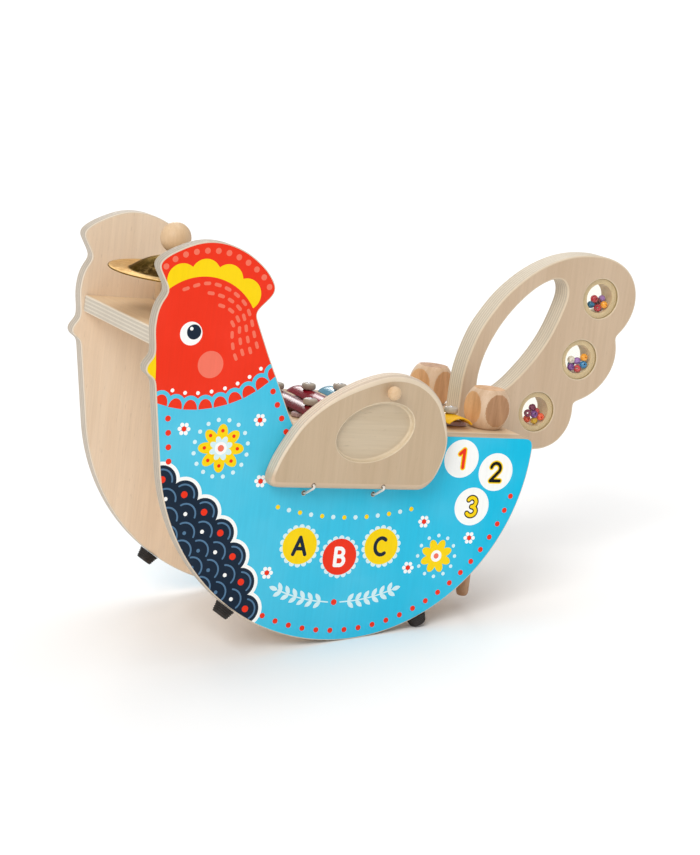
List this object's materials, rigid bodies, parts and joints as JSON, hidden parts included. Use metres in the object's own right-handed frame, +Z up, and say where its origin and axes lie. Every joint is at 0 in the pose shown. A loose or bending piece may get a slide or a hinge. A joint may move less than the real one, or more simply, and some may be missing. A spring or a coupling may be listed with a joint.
{
  "type": "wooden musical chicken toy",
  "caption": "Rocking wooden hen toy with printed sides, a cymbal, a small xylophone, a hinged wing clapper, mallets and a carrying tail with rattle windows.",
  "frame": {"origin": "on the ground under the middle of the toy's bounding box", "axes": "+Z up, +X from the beak to the tail, +Y to the hen's right side, away from the wing clapper; the toy stands rocked back 7.85 degrees on its rear feet"},
  "size_m": [0.4402, 0.1876, 0.3031],
  "materials": {
    "panel_wood": "clear-lacquered plywood, printed outside",
    "board_wood": "clear-lacquered plywood",
    "tail_wood": "clear-lacquered plywood",
    "wing_wood": "clear-lacquered plywood",
    "knob_wood": "satin hardwood",
    "mallet_wood": "satin beech",
    "stick_wood": "satin hardwood dowel",
    "cymbal_brass": "lathed and lacquered",
    "felt": "felt",
    "bar_dark_red": "gloss",
    "bar_red": "gloss",
    "bar_blue": "gloss",
    "bar_green": "gloss",
    "bar_yellow": "gloss",
    "pad_rubber": "grey-tan rubber with a plated pin",
    "foot_rubber": "matt black",
    "clear_plastic": "clear",
    "bead_mix": "mixed bright colours",
    "cord_white": "elastic cord"
  },
  "bodies": {
    "frame": {"left_side_panel": "panel_wood", "right_side_panel": "panel_wood", "head_shelf": "board_wood", "neck_board": "board_wood", "rear_deck": "board_wood", "rear_tie": "board_wood", "front_belly_rail": "board_wood", "rear_belly_rail": "board_wood", "cymbal_post": "knob_wood", "cymbal_ball": "knob_wood", "tail_panel": "tail_wood", "window_1_left_lens": "clear_plastic", "window_1_right_lens": "clear_plastic", "window_2_left_lens": "clear_plastic", "window_2_right_lens": "clear_plastic", "window_3_left_lens": "clear_plastic", "window_3_right_lens": "clear_plastic", "front_left_foot": "foot_rubber", "front_right_foot": "foot_rubber", "rear_left_foot": "foot_rubber", "rear_right_foot": "foot_rubber", "left_wing_cord_1": "cord_white", "left_wing_cord_2": "cord_white", "xylophone_bar_1": "bar_dark_red", "xylophone_bar_2": "bar_red", "xylophone_bar_3": "bar_blue", "xylophone_bar_4": "bar_green", "xylophone_bar_5": "bar_yellow", "bar_1_left_stud": "pad_rubber", "bar_1_right_stud": "pad_rubber", "bar_2_left_stud": "pad_rubber", "bar_2_right_stud": "pad_rubber", "bar_3_left_stud": "pad_rubber", "bar_3_right_stud": "pad_rubber", "bar_4_left_stud": "pad_rubber", "bar_4_right_stud": "pad_rubber", "bar_5_left_stud": "pad_rubber", "bar_5_right_stud": "pad_rubber", "left_felt_strip": "felt", "right_felt_strip": "felt"},
    "left_wing": {"left_wing": "wing_wood", "left_wing_knob": "knob_wood"},
    "cymbal_seat": {"cymbal_felt": "felt"},
    "cymbal": {"cymbal": "cymbal_brass"},
    "left_mallet": {"left_mallet_head": "mallet_wood", "left_mallet_stick": "stick_wood"},
    "right_mallet": {"right_mallet_head": "mallet_wood", "right_mallet_stick": "stick_wood"},
    "rattle_1": {"window_1_beads": "bead_mix"},
    "rattle_2": {"window_2_beads": "bead_mix"},
    "rattle_3": {"window_3_beads": "bead_mix"}
  },
  "joints": [
    {"name": "left_wing_flap", "type": "hinge", "parent": "frame", "child": "left_wing", "pos_m": [-0.06602, -0.06825, 0.11662], "axis": [0.9906, 0, -0.1366], "range_deg": [0, 80], "stiffness_Nm_per_rad": 0.12, "springref_deg": -10.03, "deforming": ["left_wing_cord_1", "left_wing_cord_2"]},
    {"name": "cymbal_rock", "type": "hinge", "parent": "frame", "child": "cymbal_seat", "pos_m": [-0.16588, 0.0119, 0.27827], "axis": [0, 1, 0], "range_deg": [-4, 4], "stiffness_Nm_per_rad": 0.05},
    {"name": "cymbal_spin", "type": "hinge", "parent": "cymbal_seat", "child": "cymbal", "pos_m": [-0.16588, 0.0119, 0.27827], "axis": [0.1365, -0.0436, 0.9897], "continuous": true},
    {"name": "left_mallet_lift", "type": "slide", "parent": "frame", "child": "left_mallet", "axis": [0.1366, 0, 0.9906], "range_m": [0, 0.14]},
    {"name": "right_mallet_lift", "type": "slide", "parent": "frame", "child": "right_mallet", "axis": [0.1366, 0, 0.9906], "range_m": [0, 0.14]},
    {"name": "rattle_1_tumble", "type": "hinge", "parent": "frame", "child": "rattle_1", "pos_m": [0.18743, 0.0119, 0.21966], "axis": [0, 1, 0], "continuous": true},
    {"name": "rattle_2_tumble", "type": "hinge", "parent": "frame", "child": "rattle_2", "pos_m": [0.16917, 0.0119, 0.17292], "axis": [0, 1, 0], "continuous": true},
    {"name": "rattle_3_tumble", "type": "hinge", "parent": "frame", "child": "rattle_3", "pos_m": [0.13104, 0.0119, 0.13497], "axis": [0, 1, 0], "continuous": true}
  ]
}
